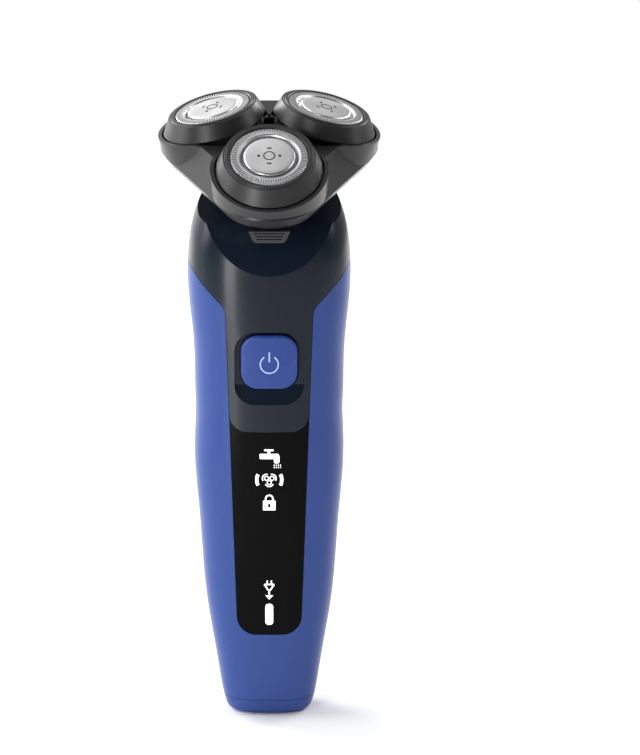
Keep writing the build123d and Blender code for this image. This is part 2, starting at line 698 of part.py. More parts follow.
with BuildPart() as chamber_gasket:
    loft([lobed(CHAMBER_TOP, 16.6, 11.2), lobed(CHAMBER_TOP + 0.15, 16.6, 11.2)])
    loft([lobed(CHAMBER_TOP - 1, 16.6, 10.6), lobed(CHAMBER_TOP + 1, 16.6, 10.6)], mode=Mode.SUBTRACT)
finish(chamber_gasket, "chamber_gasket")

with BuildPart() as gear_cover:
    loft([lobed(GEAR_COVER_FOOT, PLANET_REACH, 5.6), lobed(CHAMBER_FOOT, PLANET_REACH, 6.5)])
    rod(HEAD, SPIGOT_RADIUS + 1.3, SEAT_TOP + GAP, GEAR_COVER_FOOT)
    rod(HEAD, SPIGOT_RADIUS + GAP, SEAT_TOP, GEAR_COVER_FOOT, Mode.SUBTRACT)
    rod(HEAD, HUB_RADIUS + 0.3, SEAT_TOP, CHAMBER_FOOT, Mode.SUBTRACT)
    for frame in PLANETS:
        rod(frame, 0.9 + FIT, CHAMBER_FOOT - 0.5, CHAMBER_FOOT, Mode.SUBTRACT)
finish(gear_cover, "gear_cover")

with BuildPart() as sun_gear:
    gear(HEAD, HEAD_MODULE, SUN_TEETH, 0, GEAR_TOP - GEAR_THICK, GEAR_TOP)
    rod(HEAD, HUB_RADIUS, GEAR_COVER_FOOT, GEAR_TOP - GEAR_THICK)
    rod(HEAD, 1.0, GEAR_TOP, CHAMBER_FLOOR + 0.7)
    hexagon(HEAD, DOG_ACROSS + 0.4, GEAR_COVER_FOOT - 1, -17.4, Mode.SUBTRACT)
finish(sun_gear, "sun_gear")

for name, direction, frame in zip(UNIT_NAMES, UNIT_DIRECTIONS, PLANETS):
    # World direction of a tooth, turned into the planet's own frame
    phase = direction + 180 + direction * SUN_TEETH / PLANET_TEETH + 180 / PLANET_TEETH - direction
    with BuildPart() as planet_gear:
        gear(frame, HEAD_MODULE, PLANET_TEETH, phase, GEAR_TOP - GEAR_THICK, GEAR_TOP)
        rod(frame, 0.9, CHAMBER_FOOT - 0.4, GEAR_TOP - GEAR_THICK)
        rod(frame, 1.6, GEAR_TOP, CHAMBER_FLOOR - 0.1)
        rod(frame, 0.8, CHAMBER_FLOOR - 0.1, PIVOT_HEIGHT)
        # Six-sided ball that drives the cutter at an angle
        with BuildPart(mode=Mode.PRIVATE) as ball:
            with Locations(frame.offset(PIVOT_HEIGHT)):
                Sphere(DRIVE_BALL)
            hexagon(frame, DRIVE_ACROSS, PIVOT_HEIGHT - 2, PIVOT_HEIGHT + 2, Mode.INTERSECT)
        add(ball.part)
    finish(planet_gear, f"planet_{name}")

# ---------------------------------------------------------------- shaving unit: lid

with BuildPart() as head_holder:
    for frame in UNITS:
        rod(moved(frame, SKIRT_SHIFT), COLLAR_RADIUS, -18, -SKIRT_HEIGHT)
    block(HEAD, (-60, -60, -60), (60, 60, WIDEST), Mode.SUBTRACT)
    block(HEAD, (-60, -60, TOP_LAND), (60, 60, 60), Mode.SUBTRACT)
    loft([lobed(TOP_LAND, 16.3, 10.35), lobed(WIDEST, 16.6, 14.2)])
    loft([lobed(WIDEST, 16.6, 14.2), lobed(RIM, 16.6, 12.1)])
    loft([lobed(TOP_LAND - 1.3, 16.3, 9.2), lobed(WIDEST, 16.6, 13.0)], mode=Mode.SUBTRACT)
    loft([lobed(WIDEST, 16.6, 13.0), lobed(RIM, 16.6, 10.9)], mode=Mode.SUBTRACT)
    rod(HEAD, 12.6, -9.0, 0, Mode.SUBTRACT)
    # Web between the two rear units, level with the land behind it
    block(HEAD, (-WEB_HALF, 11.0, TOP_LAND - 1.3), (WEB_HALF, 17.0, TOP_LAND))
    for frame in UNITS:
        rod(moved(frame, SKIRT_SHIFT), COLLAR_BORE, -7.2, 10, Mode.SUBTRACT)
    # Outer knuckles of the hinge, and room for the middle one
    for side in (-1, 1):
        near, far = sorted((side * 4.3, side * 7.8))
        block(HEAD, (near, 19.4, RIM), (far, HINGE_BACK, RIM + 1.6))
        hinge_bar(KNUCKLE_RADIUS, near, far)
    hinge_bar(HINGE_PIN_RADIUS + FIT, -HINGE_HALF, HINGE_HALF, Mode.SUBTRACT)
finish(head_holder, "head_holder")

with BuildPart() as hinge_pin:
    hinge_bar(HINGE_PIN_RADIUS, -7.6, 7.6)
finish(hinge_pin, "hinge_pin")

with BuildPart() as retaining_frame:
    loft([lobed(-11.0, 16.6, 12.7), lobed(-9.7, 16.6, 11.85)])
    for frame in UNITS:
        rod(frame, 12.35, -9.5, -6.6)
    # Post that fills the middle between the three units
    rod(HEAD, 2.2, -10.5, POST_TOP)
    for frame in UNITS:
        rod(frame, OPENING_RADIUS, -20, 5, Mode.SUBTRACT)
        start = (0, -12.1, -PIVOT_DEPTH)
        cross_rod(frame, PIVOT_PIN + FIT, start, (0, 12.1, -PIVOT_DEPTH), Mode.SUBTRACT)
finish(retaining_frame, "retaining_frame")

tab_plane = Plane(HEAD.origin + HEAD.y_dir * -27.2, x_dir=HEAD.x_dir, z_dir=-HEAD.y_dir)
with BuildPart() as release_tab:
    with BuildSketch(tab_plane) as tab_outline:
        with BuildLine():
            low = TAB_TOP - TAB_HEIGHT
            Polyline(
                (-TAB_HALF[0], TAB_TOP),
                (TAB_HALF[0], TAB_TOP),
                (TAB_HALF[1], low),
                (-TAB_HALF[1], low),
                close=True,
            )
        make_face()
        fillet(tab_outline.vertices().filter_by(lambda v: v.Y < TAB_TOP - 1), 1.5)
    extrude(tab_outline.sketch, amount=1.5)
    for step in range(3):
        height = TAB_TOP - 0.8 - 0.85 * step
        half = 3.9 - 0.35 * step
        block(HEAD, (-half, -29.0, height - 0.2), (half, -28.5, height + 0.2))
    block(HEAD, (-3.3, -27.3, CHAMBER_FLOOR + 0.2), (3.3, -24.9, CHAMBER_FLOOR + 0.9))
finish(release_tab, "release_tab")

# ---------------------------------------------------------------- cutting units

for name, frame in zip(UNIT_NAMES, UNITS):
    skirt = moved(frame, SKIRT_SHIFT)
    with BuildPart() as carrier:
        rod(frame, CARRIER_OUTER, -PIVOT_DEPTH - 0.9, -PIVOT_DEPTH + 0.9)
        cross_rod(frame, PIVOT_PIN, (0, -11.9, -PIVOT_DEPTH), (0, 11.9, -PIVOT_DEPTH))
        rod(frame, CARRIER_INNER, -12, -2, Mode.SUBTRACT)
        cross_rod(frame, PIVOT_PIN + FIT, (-12, 0, -PIVOT_DEPTH), (12, 0, -PIVOT_DEPTH), Mode.SUBTRACT)
    finish(carrier, f"carrier_{name}")

    with BuildPart() as flex_ring:
        with BuildSketch(frame.offset(-0.3)) as skirt_top:
            Circle(SKIRT_TOP_RADIUS)
        with BuildSketch(skirt.offset(-SKIRT_HEIGHT)) as skirt_foot:
            Circle(SKIRT_FOOT_RADIUS)
        loft([skirt_top.sketch, skirt_foot.sketch])
        with BuildSketch(frame.offset(-1.3)) as inside_top:
            Circle(SKIRT_TOP_RADIUS - 1.0)
        with BuildSketch(skirt.offset(-SKIRT_HEIGHT)) as inside_foot:
            Circle(SKIRT_FOOT_RADIUS - 0.9)
        loft([inside_top.sketch, inside_foot.sketch], mode=Mode.SUBTRACT)
        turned(frame, [
            (9.3, -PIVOT_DEPTH - 0.8), (TUBE_RADIUS, -PIVOT_DEPTH - 0.8), (TUBE_RADIUS, -3.4),
            (11.2, -1.5), (11.5, -0.3), (11.35, -0.12), (11.05, -0.12), (10.95, 0.05), (10.35, 0.05), (10.2, -0.1),
            (10.2, -2.6), (9.3, -2.6),
        ])
        rod(frame, 9.3, -12, -2.6, Mode.SUBTRACT)
        rod(frame, 10.2, -2.6, 5, Mode.SUBTRACT)
        for side in (-1, 1):
            start = (side * (TUBE_RADIUS - 0.2), 0, -PIVOT_DEPTH)
            cross_rod(frame, PIVOT_PIN, start, (side * 10.9, 0, -PIVOT_DEPTH))
    finish(flex_ring, f"flex_ring_{name}")

    with BuildPart() as guard:
        turned(frame, [
            (5.0, -1.4), (9.45, -1.4), (9.45, -2.5), (GUARD_RADIUS, -2.5), (GUARD_RADIUS, -0.35),
            (9.75, 0), (8.0, 0), (7.6, -0.35), (7.6, -0.9), (5.0, -0.9),
        ])
        turned(frame, [(7.85, -3), (9.45, -3), (9.45, -0.5), (7.85, -0.5)], Mode.SUBTRACT)
        for step in range(SLOTS):
            slot = Plane(frame.location * Rotation(0, 0, 360 * step / SLOTS))
            block(slot, (8.2, -0.13, -0.8), (9.6, 0.13, 0.4), Mode.SUBTRACT)
    finish(guard, f"guard_{name}")

    with BuildPart() as guard_disc:
        turned(frame, [
            (0, -1.4), (4.95, -1.4), (4.95, -0.9), (DISC_RADIUS, -0.9), (DISC_RADIUS, 0.0),
            (6.3, 0.22), (0, 0.3),
        ])
        turned(frame, [(1.25, 0.2), (1.55, 0.2), (1.55, 0.5), (1.25, 0.5)], Mode.SUBTRACT)
    finish(guard_disc, f"guard_disc_{name}")

    with BuildPart() as cutter:
        rod(frame, 9.1, -2.35, -1.95)
        rod(frame, 3.2, -9.3, -1.75)
        for step in range(BLADES):
            blade = Plane(frame.location * Rotation(0, 0, 360 * step / BLADES))
            block(blade, (8.0, -0.35, -2.0), (9.1, 0.35, -0.75))
        for step in range(3):
            window = moved(Plane(frame.location * Rotation(0, 0, 120 * step + 60)), 5.7)
            rod(window, 1.7, -3, -1, Mode.SUBTRACT)
        hexagon(frame, 2.9, -8.5, -6.4, Mode.SUBTRACT)
        turned(frame, [(0, -8.4), (1.65, -8.4), (2.7, -9.4), (0, -9.4)], Mode.SUBTRACT)
    finish(cutter, f"cutter_{name}")
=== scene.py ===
"""Looks of the electric shaver: camera, lights, materials and the finely made visible pieces."""
import json
from math import cos, pi, radians, sin

import bpy
from mathutils import Matrix, Vector
from mathutils.bvhtree import BVHTree


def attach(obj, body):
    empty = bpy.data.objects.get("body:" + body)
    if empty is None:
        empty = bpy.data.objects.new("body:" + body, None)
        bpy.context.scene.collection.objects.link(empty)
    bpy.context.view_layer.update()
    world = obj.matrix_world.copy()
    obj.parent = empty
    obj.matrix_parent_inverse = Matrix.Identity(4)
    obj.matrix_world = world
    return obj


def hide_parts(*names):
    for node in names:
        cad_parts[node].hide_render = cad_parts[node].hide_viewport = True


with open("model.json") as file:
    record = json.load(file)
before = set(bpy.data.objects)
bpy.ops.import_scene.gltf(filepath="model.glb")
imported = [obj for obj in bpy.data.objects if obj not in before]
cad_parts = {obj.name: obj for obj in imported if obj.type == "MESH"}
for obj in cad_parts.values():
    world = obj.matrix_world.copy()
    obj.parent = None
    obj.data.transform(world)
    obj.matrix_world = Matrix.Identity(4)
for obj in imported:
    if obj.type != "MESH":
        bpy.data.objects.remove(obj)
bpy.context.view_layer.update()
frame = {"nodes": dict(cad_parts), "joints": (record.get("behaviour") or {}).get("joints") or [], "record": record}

MM = 0.001
UNIT_NAMES = ("front", "right", "left")
JOINTS = {joint["name"]: joint for joint in frame["joints"]}

# From a cutting unit's crossed pivots up to its steel face.
FACE_ABOVE_PIVOT = 7.98 * MM


# ---------------------------------------------------------------- mesh helpers

def new_piece(name, vertices, faces, material, body, slot, smooth=False, matrix=None):
    """A mesh object that rides on a body and takes the given material; its slot is not used."""
    mesh = bpy.data.meshes.new(name)
    mesh.from_pydata(vertices, [], faces)
    mesh.validate()
    mesh.update()
    for polygon in mesh.polygons:
        polygon.use_smooth = smooth
    piece = bpy.data.objects.new(name, mesh)
    bpy.context.scene.collection.objects.link(piece)
    if matrix:
        piece.matrix_world = matrix
    mesh.materials.append(material)
    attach(piece, body)
    return piece


def unit_matrix(name):
    """Frame of one cutting unit's steel face: z out of the face, x along the head's tilt axis."""
    spin = JOINTS["cutter_turn_" + name]
    normal = Vector(spin["axis"]).normalized()
    along = Vector(JOINTS["head_tilt_" + name]["axis"]).normalized()
    across = normal.cross(along)
    matrix = Matrix((along, across, normal)).transposed().to_4x4()
    matrix.translation = Vector(spin["pos_m"]) + normal * FACE_ABOVE_PIVOT
    return matrix


# ---------------------------------------------------------------- material helpers

# Noise values outside these two are rare, so colour and gloss run between them.
NOISE_LOW = 0.1
NOISE_HIGH = 0.9

CLOUD_SCALE = 60
GRAIN_SCALE = 5200
GRAIN_DEPTH = 0.02 * MM
TURNING_SCALE = 9000
TURNING_DEPTH = 0.01 * MM
INK_SCALE = 700


def add_node(tree, kind, values=None):
    """A shader node with some of its inputs set."""
    node = tree.nodes.new("ShaderNode" + kind)
    for socket, value in (values or {}).items():
        node.inputs[socket].default_value = value
    return node


def start_material(name):
    """A material with its node tree and its Principled shader."""
    material = bpy.data.materials.new(name)
    material.use_nodes = True
    tree = material.node_tree
    return material, tree, tree.nodes["Principled BSDF"]


def object_noise(tree, scale, detail=2.0):
    """Noise over the piece's own coordinates."""
    coords = add_node(tree, "TexCoord")
    noise = add_node(tree, "TexNoise", {"Scale": scale, "Detail": detail})
    tree.links.new(coords.outputs["Object"], noise.inputs["Vector"])
    return noise


def scaled(colour, share):
    """A colour made darker or lighter."""
    return [min(1, channel * share) for channel in colour]


def ramp(tree, noise, low, high):
    """A colour that runs from low to high over a noise."""
    node = add_node(tree, "ValToRGB")
    first, last = node.color_ramp.elements
    first.position = NOISE_LOW
    last.position = NOISE_HIGH
    first.color = (*low, 1)
    last.color = (*high, 1)
    tree.links.new(noise.outputs["Fac"], node.inputs["Fac"])
    return node.outputs["Color"]


def map_range(tree, source, source_low, source_high, low, high):
    """A number that runs from low to high while its source runs between two values."""
    node = add_node(tree, "MapRange", {
        "From Min": source_low,
        "From Max": source_high,
        "To Min": low,
        "To Max": high,
    })
    tree.links.new(source, node.inputs["Value"])
    return node.outputs["Result"]


def spread(tree, noise, low, high):
    """A number that runs from low to high over a noise."""
    return map_range(tree, noise.outputs["Fac"], NOISE_LOW, NOISE_HIGH, low, high)


def add_bump(tree, shader, noise, strength, distance):
    """A fine relief from a noise."""
    bump = add_node(tree, "Bump", {"Strength": strength, "Distance": distance})
    tree.links.new(noise.outputs["Fac"], bump.inputs["Height"])
    tree.links.new(bump.outputs["Normal"], shader.inputs["Normal"])


def plastic(name, colour, roughness, grain=0.15, coat=0.0, level=0.5, shade=0.06):
    """Moulded plastic or rubber: fine spark-eroded grain, faint colour and gloss variation."""
    material, tree, shader = start_material(name)
    cloud = object_noise(tree, CLOUD_SCALE, 1)
    tint = ramp(tree, cloud, scaled(colour, 1 - shade), scaled(colour, 1 + shade))
    tree.links.new(tint, shader.inputs["Base Color"])
    tree.links.new(spread(tree, cloud, roughness * 0.92, roughness * 1.08), shader.inputs["Roughness"])
    add_bump(tree, shader, object_noise(tree, GRAIN_SCALE), grain, GRAIN_DEPTH)
    shader.inputs["Coat Weight"].default_value = coat
    shader.inputs["Coat Roughness"].default_value = 0.08
    shader.inputs["Specular IOR Level"].default_value = level
    return material


def turning_marks(tree):
    """Noise that depends only on the distance from the piece's own z axis."""
    coords = add_node(tree, "TexCoord")
    split = add_node(tree, "SeparateXYZ")
    flat = add_node(tree, "CombineXYZ")
    length = add_node(tree, "VectorMath")
    length.operation = "LENGTH"
    tree.links.new(coords.outputs["Object"], split.inputs["Vector"])
    for axis in ("X", "Y"):
        tree.links.new(split.outputs[axis], flat.inputs[axis])
    tree.links.new(flat.outputs["Vector"], length.inputs[0])
    marks = add_node(tree, "TexNoise")
    marks.noise_dimensions = "1D"
    marks.inputs["Scale"].default_value = TURNING_SCALE
    marks.inputs["Detail"].default_value = 3
    tree.links.new(length.outputs["Value"], marks.inputs["W"])
    return marks


def steel(name, colour, roughness, anisotropy=0.0, rings=0.0):
    """Steel with fine turning marks round the piece's own z axis."""
    material, tree, shader = start_material(name)
    shader.inputs["Metallic"].default_value = 1.0
    marks = turning_marks(tree)
    tint = ramp(tree, marks, scaled(colour, 0.9), scaled(colour, 1.06))
    tree.links.new(tint, shader.inputs["Base Color"])
    tree.links.new(spread(tree, marks, roughness * 0.8, roughness * 1.25), shader.inputs["Roughness"])
    if rings:
        add_bump(tree, shader, marks, rings, TURNING_DEPTH)
    if anisotropy:
        tangent = add_node(tree, "Tangent")
        tangent.direction_type = "RADIAL"
        tangent.axis = "Z"
        tree.links.new(tangent.outputs["Tangent"], shader.inputs["Tangent"])
        shader.inputs["Anisotropic"].default_value = anisotropy
    return material


def glow(name, colour, strength):
    """A lit pictogram: pale ink over a light, a little uneven."""
    material, tree, shader = start_material(name)
    tint = ramp(tree, object_noise(tree, INK_SCALE), scaled(colour, 0.93), colour)
    tree.links.new(tint, shader.inputs["Base Color"])
    tree.links.new(tint, shader.inputs["Emission Color"])
    shader.inputs["Emission Strength"].default_value = strength
    shader.inputs["Roughness"].default_value = 0.35
    return material


# ---------------------------------------------------------------- materials

BLUE = plastic("housing_blue_satin", (0.034, 0.070, 0.262), 0.34, coat=0.03, level=0.2, shade=0.02)
NAVY = plastic(
    "cover_navy_gloss", (0.0036, 0.0092, 0.0185), 0.25, grain=0.02, coat=0.03, level=0.28, shade=0.02,
)
WINDOW = plastic("window_black_gloss", (0.0020, 0.0020, 0.0022), 0.2, grain=0.01, level=0.06, shade=0.03)
BUTTON = plastic(
    "button_blue_satin", (0.028, 0.062, 0.275), 0.28, grain=0.08, coat=0.05, level=0.25, shade=0.02,
)
HEAD_BLACK = plastic("head_black_satin", (0.018, 0.018, 0.0195), 0.34, coat=0.04, level=0.4, shade=0.03)
RING_BLACK = plastic("ring_black_soft", (0.020, 0.020, 0.0215), 0.38, level=0.42, shade=0.03)
FRAME_DARK = plastic("frame_dark", (0.024, 0.024, 0.026), 0.45, grain=0.2)
FRAME_GREY = plastic("frame_grey", (0.16, 0.165, 0.17), 0.5, grain=0.3)
GEAR_WHITE = plastic("gear_acetal", (0.75, 0.75, 0.71), 0.38, grain=0.1)
BOARD_GREEN = plastic("board_mask", (0.015, 0.13, 0.05), 0.25, grain=0.2, coat=0.4)
WRAP_GREEN = plastic("battery_wrap", (0.03, 0.25, 0.12), 0.28, grain=0.1, coat=0.3)
SEAL = plastic("seal_rubber", (0.015, 0.015, 0.015), 0.7, grain=0.3)
INNER = plastic("inner_black", (0.012, 0.012, 0.012), 0.5, grain=0.3)
FERRITE = plastic("magnet_ferrite", (0.05, 0.05, 0.052), 0.65, grain=0.6)
DIFFUSER = plastic("light_diffuser", (0.8, 0.8, 0.8), 0.3, grain=0.1)
PLAIN_STEEL = steel("plated_steel", (0.56, 0.57, 0.58), 0.28)
CUTTER_STEEL = steel("cutter_steel", (0.5, 0.5, 0.52), 0.3)
CONTACT = steel("contact_plating", (0.75, 0.6, 0.32), 0.25)
GUARD_STEEL = steel("guard_steel", (0.72, 0.72, 0.73), 0.34, anisotropy=0.3, rings=0.04)
DISC_STEEL = steel("disc_steel", (0.74, 0.74, 0.75), 0.27, anisotropy=0.6, rings=0.04)
# Dark marks on the discs; the same colour is also painted shade, a dark ring in place of the groove round each
# disc's middle.
MARK_DARK_AND_GROOVE_SHADE = plastic("mark_dark_and_groove_shade", (0.02, 0.02, 0.02), 0.5)
ICON_WHITE = glow("icon_white", (0.95, 0.95, 0.95), 0.75)
SYMBOL_WHITE = glow("symbol_white", (0.42, 0.55, 0.86), 0.15)

SLOT_MATERIALS = {
    "housing_blue": BLUE,
    "cover_navy": NAVY,
    "window_black": WINDOW,
    "button_blue": BUTTON,
    "inner_black": INNER,
    "contact_metal": CONTACT,
    "battery_wrap": WRAP_GREEN,
    "frame_grey": FRAME_GREY,
    "frame_dark": FRAME_DARK,
    "board_green": BOARD_GREEN,
    "screw_steel": PLAIN_STEEL,
    "light_white": DIFFUSER,
    "motor_steel": PLAIN_STEEL,
    "magnet_grey": FERRITE,
    "seal_rubber": SEAL,
    "gear_white": GEAR_WHITE,
    "head_black": HEAD_BLACK,
    "ring_black": RING_BLACK,
    "guard_steel": GUARD_STEEL,
    "disc_steel": DISC_STEEL,
    "cutter_steel": CUTTER_STEEL,
}


def finish_cad_nodes():
    """Give every carried-over CAD node its procedural material."""
    for subpart in frame["record"]["subparts"]:
        mesh = frame["nodes"][subpart["node"]].data
        mesh.materials.clear()
        mesh.materials.append(SLOT_MATERIALS[subpart["material_slot"]])


# ---------------------------------------------------------------- outlines, in millimetres

CORNER_STEPS = 4
BAND_STEPS = 24


def bar(x, y, width, height, turn=0.0, round_by=0.0):
    """Outline of a bar or rounded rectangle, as points in the plane."""
    half_w, half_h = width / 2, height / 2
    round_by = min(round_by, half_w, half_h)
    shares = [step / CORNER_STEPS for step in range(CORNER_STEPS + 1)] if round_by else [0]
    points = []
    for corner, (side_x, side_y) in enumerate(((1, 1), (-1, 1), (-1, -1), (1, -1))):
        for share in shares:
            angle = pi / 2 * (corner + share)
            across = side_x * (half_w - round_by) + round_by * cos(angle)
            up = side_y * (half_h - round_by) + round_by * sin(angle)
            points.append((x + across * cos(turn) - up * sin(turn), y + across * sin(turn) + up * cos(turn)))
    return points


def arc_band(x, y, radius, width, start, end, steps=BAND_STEPS):
    """Outline of a curved band between two angles in degrees: its outer edge, then its inner one."""
    edges = []
    for reach in (radius + width / 2, radius - width / 2):
        angles = [radians(start + (end - start) * step / steps) for step in range(steps + 1)]
        edges.append([(x + reach * cos(angle), y + reach * sin(angle)) for angle in angles])
    outer, inner = edges
    return outer + inner[::-1]


# ---------------------------------------------------------------- steel guards and discs

# Slots round a guard's track, and the share of their pitch that they take.
GUARD_SLOTS = 88
SLOT_SHARE = 0.5

# Outlines as (radius, height above the steel face), in millimetres. A guard's section goes in along
# its underside, up its inner wall, over the land or along the floor of a slot, and down its outer
# wall.
GUARD_INNER = [
    (9.5, -1.35), (7.35, -1.35), (7.35, -1.0), (7.55, -0.42), (7.75, -0.12), (8.0, 0.0), (8.3, 0.0),
]
GUARD_LAND = [(9.62, 0.0), (9.8, -0.04), (9.94, -0.16), (10.0, -0.36)]
GUARD_SLOT = [(8.32, -0.62)]
GUARD_OUTER = [(10.0, -0.62), (10.0, -2.5), (9.5, -2.5)]

DISC_SEGMENTS = 128
DISC_PROFILE = [
    (0, -1.35), (7.3, -1.35), (7.3, -1.05), (6.5, -0.9), (6.6, -0.8), (6.6, -0.2), (6.5, -0.05), (6.3, 0.05),
    (6.0, 0.10), (5.0, 0.14), (4.0, 0.175), (3.0, 0.205), (2.0, 0.225), (1.0, 0.235), (0.4, 0.24), (0, 0.24),
]

# The ring is painted shade: dark where a groove round the disc's middle would lie in shade.
GROOVE_SHADE_RING_RADIUS = 1.4
GROOVE_SHADE_RING_WIDTH = 0.3
MARK_REACH = 2.7
MARK_SQUARE = 0.72
MARK_BAR_WIDTH = 0.4
MARK_BAR_LENGTH = 1.2
MARK_AND_SHADE_RING_BOTTOM = 0.12
MARK_AND_SHADE_RING_TOP = 0.27


def turned_point(radius, height, angle):
    """A point of a turned shape, in metres."""
    return (radius * MM * cos(angle), radius * MM * sin(angle), height * MM)


def guard_mesh():
    """A ring whose track is cut by fine radial slots that run out through its outer edge."""
    vertices = []
    faces = []
    pitch = 2 * pi / GUARD_SLOTS

    def column(angle):
        """Vertex numbers of the inner, land, slot and outer points at one angle."""
        groups = []
        for group in (GUARD_INNER, GUARD_LAND, GUARD_SLOT, GUARD_OUTER):
            groups.append(list(range(len(vertices), len(vertices) + len(group))))
            vertices.extend(turned_point(radius, height, angle) for radius, height in group)
        return groups

    edges = []
    for tooth in range(GUARD_SLOTS):
        edges.append(column(tooth * pitch))
        edges.append(column((tooth + 1 - SLOT_SHARE) * pitch))
    for index, (inner, land, slot, outer) in enumerate(edges):
        far_inner, far_land, far_slot, far_outer = edges[(index + 1) % len(edges)]
        starts_slot = index % 2 == 1
        near = inner + (slot if starts_slot else land) + outer
        far = far_inner + (far_slot if starts_slot else far_land) + far_outer
        for step in range(len(near)):
            after = (step + 1) % len(near)
            faces.append((near[step], far[step], far[after], near[after]))
        wall = [inner[-1]] + land + [outer[0]] + slot
        faces.append(tuple(wall) if starts_slot else tuple(reversed(wall)))
    return vertices, faces


def disc_mesh():
    """A closed disc turned from its profile, which starts and ends on the axis."""
    vertices = [turned_point(*DISC_PROFILE[0], 0)]
    rings = []
    for radius, height in DISC_PROFILE[1:-1]:
        rings.append(len(vertices))
        for step in range(DISC_SEGMENTS):
            vertices.append(turned_point(radius, height, 2 * pi * step / DISC_SEGMENTS))
    vertices.append(turned_point(*DISC_PROFILE[-1], 0))
    last = len(vertices) - 1
    faces = []
    for step in range(DISC_SEGMENTS):
        after = (step + 1) % DISC_SEGMENTS
        faces.append((0, rings[0] + after, rings[0] + step))
        faces.append((last, rings[-1] + step, rings[-1] + after))
        for low, high in zip(rings, rings[1:]):
            faces.append((low + step, low + after, high + after, high + step))
    return vertices, faces


def band_fill(count):
    """Faces between the outer and the inner edge of an arc_band, as point numbers."""
    return [(step, step + 1, count - 2 - step, count - 1 - step) for step in range(count // 2 - 1)]


def marks_and_groove_shade_mesh():
    """The small raised pieces on a disc: a dark ring in two halves, painted shade in place of a groove, and four
    mark blocks round it.
    """
    bands = [arc_band(0, 0, GROOVE_SHADE_RING_RADIUS, GROOVE_SHADE_RING_WIDTH, start, start + 180) for start in (0, 180)]
    blocks = []
    for reach in (MARK_REACH, -MARK_REACH):
        blocks.append(bar(0, reach, MARK_SQUARE, MARK_SQUARE, round_by=0.3))
        blocks.append(bar(reach, 0, MARK_BAR_WIDTH, MARK_BAR_LENGTH, round_by=0.1))
    shapes = [(band, band_fill(len(band))) for band in bands]
    shapes += [(block, [tuple(range(len(block)))]) for block in blocks]
    vertices = []
    faces = []
    for outline, fill in shapes:
        bottom = len(vertices)
        top = bottom + len(outline)
        for height in (MARK_AND_SHADE_RING_BOTTOM, MARK_AND_SHADE_RING_TOP):
            vertices += [(x * MM, y * MM, height * MM) for x, y in outline]
        for corners in fill:
            faces.append(tuple(top + corner for corner in corners))
            faces.append(tuple(bottom + corner for corner in reversed(corners)))
        for step in range(len(outline)):
            after = (step + 1) % len(outline)
            faces.append((bottom + step, bottom + after, top + after, top + step))
    return vertices, faces


def make_cutting_units():
    """Slotted guard, turned disc, small marks and a dark ring of painted groove shade for each unit."""
    guard = guard_mesh()
    disc = disc_mesh()
    marks = marks_and_groove_shade_mesh()
    for name in UNIT_NAMES:
        matrix = unit_matrix(name)
        body = "head_" + name
        piece = new_piece("guard_slotted_" + name, *guard, GUARD_STEEL, body, "guard_steel", False, matrix)
        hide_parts("guard_" + name)
        piece = new_piece("disc_turned_" + name, *disc, DISC_STEEL, body, "disc_steel", True, matrix)
        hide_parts("guard_disc_" + name)
        # Dark marks, with a ring of painted groove shade among them.
        new_piece("guard_marks_and_groove_shade_" + name, *marks, MARK_DARK_AND_GROOVE_SHADE, body, "frame_dark", False, matrix)


# ---------------------------------------------------------------- pictograms

# How far a pictogram stands out of its surface, and reaches into it.
ICON_LIFT = 0.06 * MM
ICON_SINK = 0.02 * MM
# A plane in front of the shaver, from which rays look for its surface.
RAY_START = -0.1


def surface_tree(node):
    """Ray-cast tree of a CAD node's mesh."""
    mesh = frame["nodes"][node].data
    return BVHTree.FromPolygons([v.co[:] for v in mesh.vertices], [p.vertices[:] for p in mesh.polygons])


def filled_outline(outline):
    """A flat mesh inside an outline: points in the front view become x and y, in metres."""
    curve = bpy.data.curves.new("outline", "CURVE")
    curve.dimensions = "2D"
    curve.fill_mode = "BOTH"
    spline = curve.splines.new("POLY")
    spline.points.add(len(outline) - 1)
    for point, (x, z) in zip(spline.points, outline):
        point.co = (x * MM, z * MM, 0, 1)
    spline.use_cyclic_u = True
    flat = bpy.data.objects.new("flat", curve)
    bpy.context.scene.collection.objects.link(flat)
    bpy.context.view_layer.update()
    mesh = bpy.data.meshes.new_from_object(flat.evaluated_get(bpy.context.evaluated_depsgraph_get()))
    bpy.data.objects.remove(flat)
    bpy.data.curves.remove(curve)
    return mesh


def printed_piece(name, outlines, node, material, body):
    """Flat outlines, given in millimetres in the front view, laid on a node's front surface."""
    tree = surface_tree(node)
    vertices = []
    faces = []
    for outline in outlines:
        mesh = filled_outline(outline)
        front = len(vertices)
        back = front + len(mesh.vertices)
        for lift in (ICON_LIFT, -ICON_SINK):
            for vertex in mesh.vertices:
                x, z = vertex.co.x, vertex.co.y
                hit = tree.ray_cast(Vector((x, RAY_START, z)), Vector((0, 1, 0)))[0]
                vertices.append((x, hit.y - lift, z))
        rim = {}
        for polygon in mesh.polygons:
            corners = list(polygon.vertices)
            if polygon.normal.z < 0:
                corners.reverse()
            faces.append(tuple(front + corner for corner in corners))
            faces.append(tuple(back + corner for corner in reversed(corners)))
            for edge in zip(corners, corners[1:] + corners[:1]):
                if edge[::-1] in rim:
                    del rim[edge[::-1]]
                else:
                    rim[edge] = True
        for a, b in rim:
            faces.append((front + b, front + a, back + a, back + b))
        bpy.data.meshes.remove(mesh)
    return new_piece(name, vertices, faces, material, body, "light_white")


def tap_outlines(z):
    """A water tap with two rows of drops; z is the middle of its pipe."""
    pipe = bar(-0.05, z, 5.0, 1.45, round_by=0.3)
    stem = bar(-0.1, z + 1.15, 0.7, 1.0)
    handle = bar(-0.1, z + 1.7, 2.5, 0.5, round_by=0.2)
    spout = bar(1.95, z - 0.75, 1.45, 2.3, round_by=0.4)
    drops = [bar(1.3 + 0.55 * column, z - 2.4 - 0.6 * row, 0.26, 0.36, round_by=0.1)
             for row in range(2) for column in range(4)]
    return [pipe, stem, handle, spout] + drops


